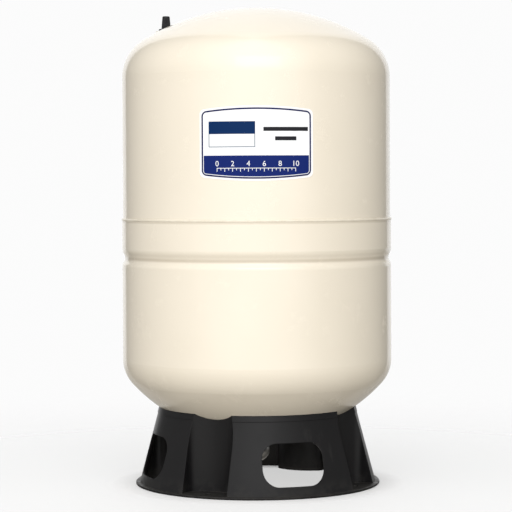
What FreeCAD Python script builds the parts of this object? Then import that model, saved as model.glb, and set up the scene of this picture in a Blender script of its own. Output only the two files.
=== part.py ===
import FreeCAD, Part
import math
import os
import re
import Sketcher

# Expansion vessel: an upright steel pressure tank of the 100 litre class on a moulded stand.
# Millimetres, +Z up. The origin is on the floor under the tank's axis. The stand's windows face
# -Y, +X, +Y and -X, its anchor flutes lie on the diagonals, and the water outlet points to +Y.

os.makedirs("parts", exist_ok=True)
doc = FreeCAD.newDocument("expansion_vessel")
sheet = doc.addObject("Spreadsheet::Sheet", "sizes")
ALIASES = []


def size(alias, value):
    """Write one driving dimension into the sheet, with its name beside it."""
    ALIASES.append(alias)
    row = len(ALIASES)
    sheet.set(f"A{row}", alias)
    sheet.set(f"B{row}", str(value))
    sheet.setAlias(f"B{row}", alias)


# Tank shells
size("shell_dia", 430)            # outside diameter of the upper shell
size("wall", 1.5)                 # steel sheet of both shells
size("lap", 12)                   # the upper shell slips this far into the lower one
size("seam_z", 424)               # top edge of the lower shell
size("upper_side", 228.5)        # straight side of the upper shell above the seam
size("upper_crown_r", 346.5)
size("upper_knuckle_r", 70.5)
size("lower_tangent_z", 201.5)    # where the bottom head's knuckle starts
size("lower_crown_r", 273.5)
size("lower_knuckle_r", 57.5)
size("bead_rise", 4)              # height of the girth weld bead
size("bead_bulge_r", 2.3)         # radius of the bead's round face

# Rolled groove that grips the diaphragm's rim
size("groove_drop", 60.5)        # groove's deepest line below the seam
size("groove_depth", 4.2)
size("groove_above", 16)          # from the deepest line up to the plain wall
size("groove_below", 12)
size("rim_margin", 4)             # diaphragm rim past each end of the groove
size("ring_margin", 2)            # clench ring past each end of the groove
size("ring_wall", 2)
size("nest_gap", 0.2)             # play between nested sheets

# Liner and diaphragm
size("liner_wall", 1.6)
size("liner_lip", 1.5)            # the liner stops this far below the diaphragm rim
size("rubber", 3)
size("diaphragm_lift", 17)        # diaphragm bottom above the liner, clear of the lock nut

# Water connection, a 1 inch elbow under the tank
size("elbow_z", 54)               # height of the outlet's centre line
size("elbow_ball_r", 20)
size("pipe_r", 17)
size("water_bore_r", 12.5)
size("outlet_y", 122)             # outlet face from the tank's axis
size("socket_r", 20.5)
size("socket_len", 28)
size("outlet_thread_r", 15.15)    # minor radius of a 1 inch parallel pipe thread
size("outlet_thread_len", 20)
size("spigot_r", 16.5)            # threaded end that passes through the tank's bottom
size("spigot_play", 0.5)
size("flange_r", 32)
size("flange_t", 3)
size("gasket_t", 3)               # at the tank's axis
size("inner_gasket_r", 26)
size("inner_gasket_t", 3.5)
size("nut_flats", 48)
size("nut_h", 8)
size("spigot_end", 1.5)           # spigot past the lock nut

# Stand
size("foot_r", 191)               # outside of the cone at the floor
size("stand_top_r", 158)          # outside of the cone at the tank
size("stand_wall", 3)
size("lip_out", 5.6)             # foot lip past the cone
size("lip_t", 4)
size("lip_round", 1.5)
size("band_h", 9)                 # raised band round the stand's top
size("band_proud", 0.8)
size("seat_in_r", 120)            # inner edge of the flange that carries the tank
size("seat_t", 4)
size("flute_back_r", 146)         # back of each anchor flute, from the axis
size("flute_half", 38.5)
size("flute_back_arc", 60)
size("flute_corner", 14)
size("window_half", 50)
size("window_low", 17.5)
size("window_high", 83)
size("window_corner", 25)
size("anchor_in", 19)            # anchor holes in from the cone's foot
size("anchor_hole_r", 5.5)

# Weld studs that hold the stand to the tank
size("stud_at", 135)              # studs from the axis
size("stud_r", 4)
size("stud_hole_r", 4.6)
size("pad_r", 12.5)
size("pad_drop", 10.84)          # flat pads below the tank, at the studs
size("stud_out", 15)             # stud end past the pad
size("washer_r", 8.5)
size("washer_t", 1.6)
size("stud_nut_flats", 13)
size("stud_nut_h", 6.5)

# Air valve on the shoulder of the top head
size("valve_in", 64)             # valve's axis in from the tank's side
size("valve_turn", -123.7)        # degrees round from -Y, positive towards +X
size("valve_seat_rise", 1.28)    # flat seat above the head's curve, on the valve's axis
size("valve_seat_r", 15)
size("valve_seat_flare", 30)      # degrees that the seat's sides lean from upright
size("seat_cut", 18)              # height of the cones that press the seat
size("weld_socket_r", 9)          # steel socket welded under the seat
size("weld_socket_h", 9)
size("valve_shank_r", 4.85)
size("valve_washer_r", 7)
size("valve_washer_t", 1)
size("valve_hex_flats", 12)
size("valve_hex_h", 2)
size("stem_r", 3.85)
size("stem_top", 18.5)            # stem end above the seat
size("shank_low", 15)             # shank end below the seat
size("stem_bore_r", 2.3)
size("core_low", 6)               # core's lower end below the seat
size("core_head_h", 4)
size("core_barrel_r", 1.9)
size("core_bore_r", 1.5)
size("core_lip_h", 1.5)
size("pin_r", 0.7)
size("pin_play", 0.05)
size("pin_collar_r", 1.35)
size("pin_collar_at", 7.5)        # collar above the seat
size("pin_collar_h", 1)
size("pin_seal_h", 1.5)
size("pin_seal_gap", 0.05)
size("pin_foot_r", 1.8)
size("pin_foot_h", 1.5)
size("spring_wire_r", 0.2)
size("spring_coil_r", 1.1)
size("spring_turns", 8)

# Valve cap
size("cap_gap", 0.2)              # cap flange above the seat
size("cap_flange_r", 12)
size("cap_flange_h", 3.6)
size("cap_low_r", 7.6)            # cap body above its flange
size("cap_top_r", 6)
size("cap_room", 3.7)            # space over the stem's end
size("cap_round", 1.5)
size("cap_pocket_play", 0.3)     # round the valve's washer
size("cap_pocket_gap", 0.2)      # over the valve's hexagon
size("cap_thread_play", 0.15)    # between the cap's bore and the stem, in radius
size("cap_roof", 2.3)
size("cap_ring_r", 9.75)
size("cap_ring_wire_r", 1.1)
size("cap_ring_gap", 0.05)

# Label on the front of the upper shell
size("label_turn", -18.7)         # degrees round from -Y
size("label_w", 176)
size("label_up", 62.5)           # label's bottom edge above the seam
size("label_h", 113.5)
size("label_corner", 8)
size("label_bow", 5)              # rise of the top and bottom edges at the middle
size("label_t", 0.3)
doc.recompute()


def bound(text):
    """Turn plain names in an expression into references to the sheet."""
    return re.sub(r"[a-z_][a-z0-9_]*", lambda m: "sizes." + m[0] if m[0] in ALIASES else m[0], text)


def value(text):
    """Work an expression out from the sheet, for the first draft of a sketch."""
    return float(sheet.evalExpression(bound(text)))


def bind(thing, **sizes):
    """Bind properties of a feature to expressions."""
    for name, text in sizes.items():
        thing.setExpression(name, bound(text))
    return thing


def new_body(name):
    body = doc.addObject("PartDesign::Body", name)
    body.Label = name
    return body


def new_sketch(body, name, plane="XZ_Plane", turn=0):
    """Sketch on one of the body's own planes, turned about the plane's normal."""
    drawing = body.newObject("Sketcher::SketchObject", name)
    support = [face for face in body.Origin.OriginFeatures if face.Role == plane][0]
    drawing.AttachmentSupport = [(support, "")]
    drawing.MapMode = "FlatFace"
    drawing.AttachmentOffset = FreeCAD.Placement(
        FreeCAD.Vector(0, 0, 0), FreeCAD.Rotation(FreeCAD.Vector(0, 0, 1), turn)
    )
    return drawing


def pin_point(drawing, edge, end, across, up):
    """Hold one end of an edge at bound coordinates."""
    for kind, text in (("DistanceX", across), ("DistanceY", up)):
        row = drawing.addConstraint(Sketcher.Constraint(kind, -1, 1, edge, end, value(text)))
        drawing.setExpression(f"Constraints[{row}]", bound(text))


def outline(drawing, *corners):
    """Closed outline. A corner is (x, y), or (x, y, radius, side) where an arc ends.

    The side is "left" where the arc turns left on its way and "right" where it turns right.
    """
    ends = []
    for index, corner in enumerate(corners):
        start = FreeCAD.Vector(*[value(text) for text in corners[index - 1][:2]], 0)
        stop = FreeCAD.Vector(*[value(text) for text in corner[:2]], 0)
        if len(corner) == 2:
            edge = drawing.addGeometry(Part.LineSegment(start, stop))
            ends.append((edge, 1, 2))
            continue
        radius = value(corner[2])
        left = 1 if corner[3] == "left" else -1
        chord = stop - start
        inward = FreeCAD.Vector(-chord.y, chord.x, 0).normalize() * left
        drop = math.sqrt(max(radius**2 - chord.Length**2 / 4, 0))
        centre = (start + stop) / 2 + inward * drop
        first, last = (start, stop) if left > 0 else (stop, start)
        angles = [math.atan2(point.y - centre.y, point.x - centre.x) for point in (first, last)]
        circle = Part.Circle(centre, FreeCAD.Vector(0, 0, 1), radius)
        edge = drawing.addGeometry(Part.ArcOfCircle(circle, *angles))
        row = drawing.addConstraint(Sketcher.Constraint("Radius", edge, radius))
        drawing.setExpression(f"Constraints[{row}]", bound(corner[2]))
        ends.append((edge, 1, 2) if left > 0 else (edge, 2, 1))
    for index, corner in enumerate(corners):
        edge, start_end, stop_end = ends[index]
        previous, _, previous_end = ends[index - 1]
        drawing.addConstraint(Sketcher.Constraint("Coincident", previous, previous_end, edge, start_end))
        pin_point(drawing, edge, stop_end, *corner[:2])


def circle(drawing, across, up, radius):
    centre = FreeCAD.Vector(value(across), value(up), 0)
    edge = drawing.addGeometry(Part.Circle(centre, FreeCAD.Vector(0, 0, 1), value(radius)))
    row = drawing.addConstraint(Sketcher.Constraint("Radius", edge, value(radius)))
    drawing.setExpression(f"Constraints[{row}]", bound(radius))
    pin_point(drawing, edge, 3, across, up)


def hexagon(drawing, flats, across="0", up="0"):
    """Hexagon given across its flats."""
    reach = f"({flats}) / 2 / cos(30)"
    outline(drawing, *[(f"{across} + {reach} * cos({60 * step})", f"{up} + {reach} * sin({60 * step})")
                       for step in range(6)])


def spin(body, name, *corners, cut=False):
    """Turn an outline of (radius, height) corners about the body's Z axis."""
    drawing = new_sketch(body, name + "_section")
    outline(drawing, *corners)
    kind = "PartDesign::Groove" if cut else "PartDesign::Revolution"
    feature = body.newObject(kind, name)
    feature.Profile = drawing
    feature.ReferenceAxis = (drawing, ["V_Axis"])
    feature.Angle = 360
    drawing.Visibility = False
    return feature


def pad(body, name, drawing, length, back=False):
    feature = body.newObject("PartDesign::Pad", name)
    feature.Profile = drawing
    feature.Reversed = back
    return bind(feature, Length=length)


def pocket(body, name, drawing, length, back=False):
    feature = body.newObject("PartDesign::Pocket", name)
    feature.Profile = drawing
    feature.Reversed = back
    return bind(feature, Length=length)


def lift_sketch(drawing, height):
    """Raise a sketch above its plane."""
    drawing.setExpression("AttachmentOffset.Base.z", bound(height))
    return drawing


def four_times(body, name, feature):
    """Repeat a feature at the four quarters about the body's Z axis."""
    pattern = body.newObject("PartDesign::PolarPattern", name)
    pattern.Originals = [feature]
    pattern.Axis = ([line for line in body.Origin.OriginFeatures if line.Role == "Z_Axis"][0], [""])
    pattern.Angle = 360
    pattern.Occurrences = 4
    body.Tip = pattern
    return pattern


def at_valve(body):
    """Stand a part on the valve's own vertical axis."""
    return bind(body, **{
        ".Placement.Base.x": f"{VALVE_AT} * sin(valve_turn)",
        ".Placement.Base.y": f"-{VALVE_AT} * cos(valve_turn)",
    })


# Heights that follow from the sizes above. A torispherical head's crown centre lies on the axis.
UPPER_R = "(shell_dia / 2)"
LOWER_R = "(shell_dia / 2 + wall)"
UPPER_TANGENT = "(seam_z + upper_side)"
GROOVE_Z = "(seam_z - groove_drop)"
UPPER_REACH = f"sqrt((upper_crown_r - upper_knuckle_r)^2 - ({UPPER_R} - upper_knuckle_r)^2)"
LOWER_REACH = f"sqrt((lower_crown_r - lower_knuckle_r)^2 - ({LOWER_R} - lower_knuckle_r)^2)"
UPPER_CROWN_Z = f"({UPPER_TANGENT} - {UPPER_REACH})"
LOWER_CROWN_Z = f"(lower_tangent_z + {LOWER_REACH})"
DOME_LOW = f"({LOWER_CROWN_Z} - lower_crown_r)"
VALVE_AT = f"({UPPER_R} - valve_in)"
SEAT = f"({UPPER_CROWN_Z} + sqrt(upper_crown_r^2 - {VALVE_AT}^2) + valve_seat_rise)"


def dome_z(radius, inset="0"):
    """Height of the bottom head's outer face, or of a face inset from it, at a radius."""
    return f"({LOWER_CROWN_Z} - sqrt((lower_crown_r - ({inset}))^2 - ({radius})^2))"


def top_head(inset, side):
    """Corners from the tangent line up to the axis, or back from the axis down to the tangent."""
    spread = f"({UPPER_R} - upper_knuckle_r) / (upper_crown_r - upper_knuckle_r)"
    joint = (f"(upper_crown_r - {inset}) * {spread}",
             f"{UPPER_CROWN_Z} + (upper_crown_r - {inset}) * {UPPER_REACH}"
             " / (upper_crown_r - upper_knuckle_r)")
    pole = ("0", f"{UPPER_CROWN_Z} + upper_crown_r - {inset}")
    foot = (f"{UPPER_R} - {inset}", UPPER_TANGENT)
    knuckle = f"upper_knuckle_r - {inset}"
    crown = f"upper_crown_r - {inset}"
    if side == "up":
        return [foot, (*joint, knuckle, "left"), (*pole, crown, "left")]
    return [pole, (*joint, crown, "right"), (*foot, knuckle, "right")]


def bottom_head(inset, side, start_r="0", lift="0"):
    """Corners of the bottom head, inset from its outer face and lifted bodily.

    The corner nearest the axis stands at start_r, which is the rim of a hole there.
    """
    spread = f"({LOWER_R} - lower_knuckle_r) / (lower_crown_r - lower_knuckle_r)"
    crown = f"lower_crown_r - ({inset})"
    knuckle = f"lower_knuckle_r - ({inset})"
    joint = (f"({crown}) * {spread}", f"{LOWER_CROWN_Z} - ({crown}) * {LOWER_REACH}"
             f" / (lower_crown_r - lower_knuckle_r) + {lift}")
    foot = (f"{LOWER_R} - ({inset})", f"lower_tangent_z + {lift}")
    pole = (start_r, f"{dome_z(start_r, inset)} + {lift}")
    if side == "up":
        return [pole, (*joint, crown, "left"), (*foot, knuckle, "left")]
    return [foot, (*joint, knuckle, "right"), (*pole, crown, "right")]


def groove(radius, side):
    """The rolled groove as four arcs, on a wall of the given radius, going up or down."""
    above = "(groove_above^2 + groove_depth^2) / (4 * groove_depth)"
    below = "(groove_below^2 + groove_depth^2) / (4 * groove_depth)"
    top = (radius, f"{GROOVE_Z} + groove_above")
    high = (f"{radius} - groove_depth / 2", f"{GROOVE_Z} + groove_above / 2")
    deep = (f"{radius} - groove_depth", GROOVE_Z)
    low = (f"{radius} - groove_depth / 2", f"{GROOVE_Z} - groove_below / 2")
    bottom = (radius, f"{GROOVE_Z} - groove_below")
    if side == "up":
        return [bottom, (*low, below, "left"), (*deep, below, "right"),
                (*high, above, "right"), (*top, above, "left")]
    return [top, (*high, above, "right"), (*deep, above, "left"),
            (*low, below, "left"), (*bottom, below, "right")]


# Upper shell: a deep-drawn steel head with a straight skirt, open at the bottom, where it slips
# into the lower shell. A flat seat for the air valve is pressed into its shoulder.
upper_outer = new_sketch(new_body("upper_shell_outer_body"), "upper_outer_section")
upper_inner = new_sketch(new_body("upper_shell_inner_body"), "upper_inner_section")
outline(upper_outer, ("0", "seam_z - lap"), (UPPER_R, "seam_z - lap"), *top_head("0", "up"))
outline(upper_inner, ("0", "seam_z - lap - 1"), (f"{UPPER_R} - wall", "seam_z - lap - 1"),
        *top_head("wall", "up"))


def turned(name, drawing):
    """Solid of revolution of a sketch about Z."""
    solid = doc.addObject("Part::Revolution", name)
    solid.Source = drawing
    solid.Axis = FreeCAD.Vector(0, 0, 1)
    solid.Angle = 360
    solid.Solid = True
    return solid


def seat_cone(name, low_r, high_r, low_z):
    """Cone on the valve's axis: the seat is sunk on its uphill side and raised downhill."""
    cone = at_valve(doc.addObject("Part::Cone", name))
    return bind(cone, Radius1=low_r, Radius2=high_r, Height="seat_cut",
                **{".Placement.Base.z": low_z})


def cut(name, base, tool):
    result = doc.addObject("Part::Cut", name)
    result.Base = base
    result.Tool = tool
    return result


def fuse(name, *shapes):
    result = doc.addObject("Part::MultiFuse", name)
    result.Shapes = list(shapes)
    return result


SEAT_STEP = "wall * (1 / cos(valve_seat_flare) - tan(valve_seat_flare))"
SEAT_SPREAD = "seat_cut * tan(valve_seat_flare)"
SUNK_R = f"valve_seat_r + {SEAT_STEP}"
RAISED_R = f"valve_seat_r + wall - {SEAT_STEP}"
press_out = seat_cone("seat_press_outer", "valve_seat_r", f"valve_seat_r + {SEAT_SPREAD}", SEAT)
press_in = seat_cone("seat_press_inner", SUNK_R, f"{SUNK_R} + {SEAT_SPREAD}", f"{SEAT} - wall")
rise_out = seat_cone("seat_rise_outer", f"valve_seat_r + wall + {SEAT_SPREAD}", "valve_seat_r + wall",
                     f"{SEAT} - seat_cut")
rise_in = seat_cone("seat_rise_inner", f"{RAISED_R} + {SEAT_SPREAD}", RAISED_R,
                    f"{SEAT} - wall - seat_cut")
head_outer = turned("head_outer", upper_outer)
head_inner = turned("head_inner", upper_inner)
outer_skin = fuse("upper_outer_skin", cut("upper_outer_pressed", head_outer, press_out), rise_out)
inner_skin = fuse("upper_inner_skin", cut("upper_inner_pressed", head_inner, press_in), rise_in)
valve_hole = at_valve(doc.addObject("Part::Cylinder", "valve_hole"))
bind(valve_hole, Radius="valve_shank_r", Height="seat_cut",
     **{".Placement.Base.z": f"{SEAT} - seat_cut / 2"})
upper_shell = cut("upper_shell", cut("upper_skin", outer_skin, inner_skin), valve_hole)
upper_shell.Label = "upper_shell"

# Lower shell: the same sheet, one wall larger, with the bottom head, the rolled groove over the
# diaphragm's rim, and a hole for the water connection on its axis.
lower_shell = new_body("lower_shell")
spin(lower_shell, "lower_wall",
     *bottom_head("0", "up", start_r="spigot_r + spigot_play"),
     *groove(LOWER_R, "up"),
     (LOWER_R, "seam_z"),
     (UPPER_R, "seam_z"),
     *groove(UPPER_R, "down"),
     *bottom_head("wall", "down", start_r="spigot_r + spigot_play"))

# Girth weld: one round bead laid on the lower shell's edge.
girth_weld = new_body("girth_weld")
spin(girth_weld, "bead", (LOWER_R, "seam_z"), (UPPER_R, "seam_z + bead_rise", "bead_bulge_r", "left"),
     (UPPER_R, "seam_z"))

# Liner: polypropylene tub that keeps the water off the steel. It stops below the rim.
RIM_LOW = f"{GROOVE_Z} - groove_below - rim_margin"
RIM_HIGH = f"{GROOVE_Z} + groove_above + rim_margin"
LINER_OUT = "wall + nest_gap"
LINER_IN = "wall + nest_gap + liner_wall"
liner = new_body("liner")
spin(liner, "tub",
     *bottom_head(LINER_OUT, "up", start_r="spigot_r + spigot_play"),
     (f"{LOWER_R} - ({LINER_OUT})", f"{RIM_LOW} - liner_lip"),
     (f"{LOWER_R} - ({LINER_IN})", f"{RIM_LOW} - liner_lip"),
     *bottom_head(LINER_IN, "down", start_r="spigot_r + spigot_play"))

# Diaphragm: butyl bag, drawn drained, when the air charge holds it down against the liner. Its
# thick rim fills the groove, and its crown stands clear of the lock nut.
BAG_OUT = f"{LINER_IN} + nest_gap"
BAG_IN = f"{BAG_OUT} + rubber"
BAG_R = f"({LOWER_R} - ({BAG_OUT}))"
RIM_OUT = f"({UPPER_R} - nest_gap)"
RIM_IN = f"({LOWER_R} - ({BAG_IN}))"
diaphragm = new_body("diaphragm")
spin(diaphragm, "bag",
     *bottom_head(BAG_OUT, "up", lift="diaphragm_lift"),
     (BAG_R, RIM_LOW),
     (RIM_OUT, RIM_LOW),
     *groove(RIM_OUT, "up"),
     (RIM_OUT, RIM_HIGH),
     (RIM_IN, RIM_HIGH),
     *groove(RIM_IN, "down"),
     *bottom_head(BAG_IN, "down", lift="diaphragm_lift"))

# Clench ring: rolled steel hoop inside the rim, with the same groove, that the shell is rolled onto.
RING_OUT = f"({RIM_IN} - nest_gap)"
RING_IN = f"({RING_OUT} - ring_wall)"
clench_ring = new_body("clench_ring")
spin(clench_ring, "hoop",
     (RING_OUT, f"{GROOVE_Z} - groove_below - ring_margin"),
     *groove(RING_OUT, "up"),
     (RING_OUT, f"{GROOVE_Z} + groove_above + ring_margin"),
     (RING_IN, f"{GROOVE_Z} + groove_above + ring_margin"),
     *groove(RING_IN, "down"),
     (RING_IN, f"{GROOVE_Z} - groove_below - ring_margin"))

# Water connection: one stainless elbow. Its spigot passes up through the tank and the liner, a
# flange bears on the gasket below, and its socket faces a window of the stand.
FLANGE_TOP = f"({DOME_LOW} - gasket_t)"
NUT_LOW = f"({dome_z('inner_gasket_r', LINER_IN)} + inner_gasket_t / 2)"
SPIGOT_TOP = f"({NUT_LOW} + nut_h + spigot_end)"
water_connection = new_body("water_connection")
spin(water_connection, "upright",
     ("0", "elbow_z - elbow_ball_r"),
     ("elbow_ball_r", "elbow_z", "elbow_ball_r", "left"),
     ("spigot_r", "elbow_z + sqrt(elbow_ball_r^2 - spigot_r^2)", "elbow_ball_r", "left"),
     ("spigot_r", f"{FLANGE_TOP} - flange_t"),
     ("flange_r", f"{FLANGE_TOP} - flange_t"),
     ("flange_r", FLANGE_TOP),
     ("spigot_r", FLANGE_TOP),
     ("spigot_r", SPIGOT_TOP),
     ("0", SPIGOT_TOP))
branch = new_sketch(water_connection, "branch_section")
circle(branch, "0", "elbow_z", "pipe_r")
pad(water_connection, "branch", branch, "outlet_y", back=True)
socket = lift_sketch(new_sketch(water_connection, "socket_section"), "socket_len - outlet_y")
circle(socket, "0", "elbow_z", "socket_r")
pad(water_connection, "socket", socket, "socket_len", back=True)
bore = new_sketch(water_connection, "bore_section")
circle(bore, "0", "elbow_z", "water_bore_r")
pocket(water_connection, "bore", bore, "outlet_y + 1")
upright_bore = lift_sketch(new_sketch(water_connection, "upright_bore_section", "XY_Plane"), "elbow_z")
circle(upright_bore, "0", "0", "water_bore_r")
pocket(water_connection, "upright_bore", upright_bore, f"{SPIGOT_TOP} - elbow_z + 1", back=True)
thread = lift_sketch(new_sketch(water_connection, "thread_section"), "outlet_thread_len - outlet_y")
circle(thread, "0", "elbow_z", "outlet_thread_r")
pocket(water_connection, "outlet_thread", thread, "outlet_thread_len + 1")

# Outlet gasket: rubber ring between the elbow's flange and the tank, with a top that fits the head.
outlet_gasket = new_body("outlet_gasket")
spin(outlet_gasket, "ring",
     ("spigot_r", FLANGE_TOP),
     ("flange_r", FLANGE_TOP),
     ("flange_r", dome_z("flange_r")),
     ("spigot_r", dome_z("spigot_r"), "lower_crown_r", "right"))

# Inner gasket and lock nut: they draw the elbow up against the tank from inside the liner.
inner_gasket = new_body("inner_gasket")
spin(inner_gasket, "ring",
     ("spigot_r", dome_z("spigot_r", LINER_IN)),
     ("inner_gasket_r", dome_z("inner_gasket_r", LINER_IN), f"lower_crown_r - ({LINER_IN})", "left"),
     ("inner_gasket_r", NUT_LOW),
     ("spigot_r", NUT_LOW))
lock_nut = new_body("lock_nut")
nut_section = lift_sketch(new_sketch(lock_nut, "nut_section", "XY_Plane"), NUT_LOW)
hexagon(nut_section, "nut_flats")
circle(nut_section, "0", "0", "spigot_r")
pad(lock_nut, "nut", nut_section, "nut_h")

# Stand: one plastic moulding. A cone with a foot lip, four anchor flutes pressed into it, four
# windows between them, and a flange under the tank's bottom with four flat stud pads.
LIP_R = "(foot_r + lip_out)"
SLOPE = f"(foot_r - stand_top_r) / {dome_z('stand_top_r')}"
STAND_HIGH = f"({dome_z('stand_top_r')} + seat_t)"


def cone_r(height, inset="0"):
    """Radius of the stand's outer cone, or of a face inset from it, at a height."""
    return f"(foot_r - {SLOPE} * ({height}) - ({inset}))"


BAND_LOW = f"({dome_z('stand_top_r')} - band_h)"
SEAT_OUT_Z = f"({dome_z('stand_top_r - stand_wall')} - seat_t)"
stand = new_body("stand")
spin(stand, "cone",
     (cone_r("0", "stand_wall"), "0"),
     (f"{LIP_R} - lip_round", "0"),
     (LIP_R, "lip_round", "lip_round", "left"),
     (LIP_R, "lip_t - lip_round"),
     (f"{LIP_R} - lip_round", "lip_t", "lip_round", "left"),
     (cone_r("lip_t"), "lip_t"),
     (cone_r(BAND_LOW), BAND_LOW),
     (cone_r(BAND_LOW, "-band_proud"), BAND_LOW),
     (cone_r(STAND_HIGH, "-band_proud"), STAND_HIGH),
     ("seat_in_r", STAND_HIGH),
     ("seat_in_r", f"{dome_z('seat_in_r')} - seat_t"),
     (cone_r(SEAT_OUT_Z, "stand_wall"), SEAT_OUT_Z))


def flute(grow):
    """Corners of a flute's plan, opening towards +X, from its lower side round to its upper."""
    middle = "(flute_back_r + flute_back_arc)"
    corner_x = f"({middle} - sqrt((flute_back_arc - flute_corner)^2 - (flute_half - flute_corner)^2))"
    reach = f"(flute_back_arc + {grow}) / (flute_back_arc - flute_corner)"
    turn_x = f"{middle} + ({corner_x} - {middle}) * {reach}"
    turn_y = f"(flute_half - flute_corner) * {reach}"
    side = f"(flute_half + {grow})"
    return [(corner_x, f"-{side}"),
            (turn_x, f"-{turn_y}", f"flute_corner + {grow}", "right"),
            (turn_x, turn_y, f"flute_back_arc + {grow}", "right"),
            (corner_x, side, f"flute_corner + {grow}", "right")]


def backwards(corners):
    """The same corners taken the other way round, arcs included."""
    turned_round = []
    for index in range(len(corners) - 1, -1, -1):
        arc = corners[index + 1][2:] if index + 1 < len(corners) else ()
        if arc:
            arc = (arc[0], "left" if arc[1] == "right" else "right")
        turned_round.append((*corners[index][:2], *arc))
    return turned_round


FLUTE_END = f"({LIP_R} + 10)"
flute_cut = lift_sketch(new_sketch(stand, "flute_section", "XY_Plane", 45), "lip_t")
outline(flute_cut, (FLUTE_END, "-flute_half"), *flute("0"), (FLUTE_END, "flute_half"))
four_times(stand, "flutes", pocket(stand, "flute", flute_cut, STAND_HIGH, back=True))
flute_wall = new_sketch(stand, "flute_wall_section", "XY_Plane", 45)
outline(flute_wall, (FLUTE_END, "-flute_half - stand_wall"), *flute("stand_wall"),
        (FLUTE_END, "flute_half + stand_wall"), (FLUTE_END, "flute_half"),
        *backwards(flute("0")), (FLUTE_END, "-flute_half"))
four_times(stand, "flute_walls", pad(stand, "flute_wall", flute_wall, STAND_HIGH))
ledge = new_sketch(stand, "ledge_section", "XY_Plane", 45)
outline(ledge, (FLUTE_END, "-flute_half - stand_wall"), *flute("stand_wall"),
        (FLUTE_END, "flute_half + stand_wall"))
four_times(stand, "ledges", pad(stand, "ledge", ledge, "lip_t"))
spin(stand, "outside_trim",
     (f"{FLUTE_END} * 1.2", "-1"),
     (f"{FLUTE_END} * 1.2", f"{STAND_HIGH} + 1"),
     (cone_r(f"({STAND_HIGH} + 1)", "-band_proud"), f"{STAND_HIGH} + 1"),
     (cone_r(BAND_LOW, "-band_proud"), BAND_LOW),
     (cone_r(BAND_LOW), BAND_LOW),
     (cone_r("lip_t"), "lip_t"),
     (f"{LIP_R} - lip_round", "lip_t"),
     (LIP_R, "lip_t - lip_round", "lip_round", "right"),
     (LIP_R, "lip_round"),
     (f"{LIP_R} - lip_round", "0", "lip_round", "right"),
     (f"{LIP_R} - lip_round", "-1"), cut=True)
PAD_Z = f"({dome_z('stud_at')} - pad_drop)"
stud_pad = lift_sketch(new_sketch(stand, "pad_section", "XY_Plane"), PAD_Z)
circle(stud_pad, "0", "-stud_at", "pad_r")
four_times(stand, "stud_pads", pad(stand, "stud_pad", stud_pad, f"{STAND_HIGH} - {PAD_Z}"))
spin(stand, "tank_seat",
     ("0", DOME_LOW),
     ("foot_r", dome_z("foot_r"), "lower_crown_r", "left"),
     ("foot_r", f"{dome_z('foot_r')} + 10"),
     ("0", f"{dome_z('foot_r')} + 10"), cut=True)
window = new_sketch(stand, "window_section")
outline(window,
        ("window_half - window_corner", "window_low"),
        ("window_half", "window_low + window_corner", "window_corner", "left"),
        ("window_half", "window_high - window_corner"),
        ("window_half - window_corner", "window_high", "window_corner", "left"),
        ("window_corner - window_half", "window_high"),
        ("-window_half", "window_high - window_corner", "window_corner", "left"),
        ("-window_half", "window_low + window_corner"),
        ("window_corner - window_half", "window_low", "window_corner", "left"))
four_times(stand, "windows", pocket(stand, "window", window, "foot_r", back=True))
stud_hole = new_sketch(stand, "stud_hole_section", "XY_Plane")
circle(stud_hole, "0", "-stud_at", "stud_hole_r")
four_times(stand, "stud_holes", pocket(stand, "stud_hole", stud_hole, "foot_r", back=True))
anchor_hole = new_sketch(stand, "anchor_hole_section", "XY_Plane", 45)
circle(anchor_hole, "foot_r - anchor_in", "0", "anchor_hole_r")
four_times(stand, "anchor_holes", pocket(stand, "anchor_hole", anchor_hole, "lip_t + 1", back=True))


def at_quarters(distance):
    """The four places round the axis, as pairs of coordinates, the first on -Y."""
    return [(f"{distance} * sin({90 * quarter})", f"-{distance} * cos({90 * quarter})")
            for quarter in range(4)]


def new_group(name):
    """Body of several like pieces that share one node."""
    group = new_body(name)
    group.AllowCompound = True
    return group


# Studs: M8, welded to the bottom head, with their upper ends cut to its curve.
weld_studs = new_group("weld_studs")
stud_section = lift_sketch(new_sketch(weld_studs, "stud_section", "XY_Plane"), f"{PAD_Z} - stud_out")
for place in at_quarters("stud_at"):
    circle(stud_section, *place, "stud_r")
pad(weld_studs, "studs", stud_section, f"{dome_z('stud_at + stud_r')} - ({PAD_Z} - stud_out)")
spin(weld_studs, "head_trim",
     ("0", DOME_LOW),
     ("foot_r", dome_z("foot_r"), "lower_crown_r", "left"),
     ("0", dome_z("foot_r")), cut=True)

# Washers and nuts under the stand's pads.
stud_washers = new_group("stud_washers")
washer_section = lift_sketch(new_sketch(stud_washers, "washer_section", "XY_Plane"),
                             f"{PAD_Z} - washer_t")
for place in at_quarters("stud_at"):
    circle(washer_section, *place, "washer_r")
    circle(washer_section, *place, "stud_r")
pad(stud_washers, "washers", washer_section, "washer_t")
stud_nuts = new_group("stud_nuts")
stud_nut_section = lift_sketch(new_sketch(stud_nuts, "stud_nut_section", "XY_Plane"),
                               f"{PAD_Z} - washer_t - stud_nut_h")
for place in at_quarters("stud_at"):
    hexagon(stud_nut_section, "stud_nut_flats", *place)
    circle(stud_nut_section, *place, "stud_r")
pad(stud_nuts, "nuts", stud_nut_section, "stud_nut_h")

# Air valve. Its parts stand on one vertical axis, and their heights are given from the seat.
STEM_TOP = f"{SEAT} + stem_top"
CORE_LOW = f"{SEAT} - core_low"

# Valve socket: steel ring welded under the seat, which the valve screws into.
valve_socket = at_valve(new_body("valve_socket"))
spin(valve_socket, "ring",
     ("valve_shank_r", f"{SEAT} - wall - weld_socket_h"),
     ("weld_socket_r", f"{SEAT} - wall - weld_socket_h"),
     ("weld_socket_r", f"{SEAT} - wall"),
     ("valve_shank_r", f"{SEAT} - wall"))

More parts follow.
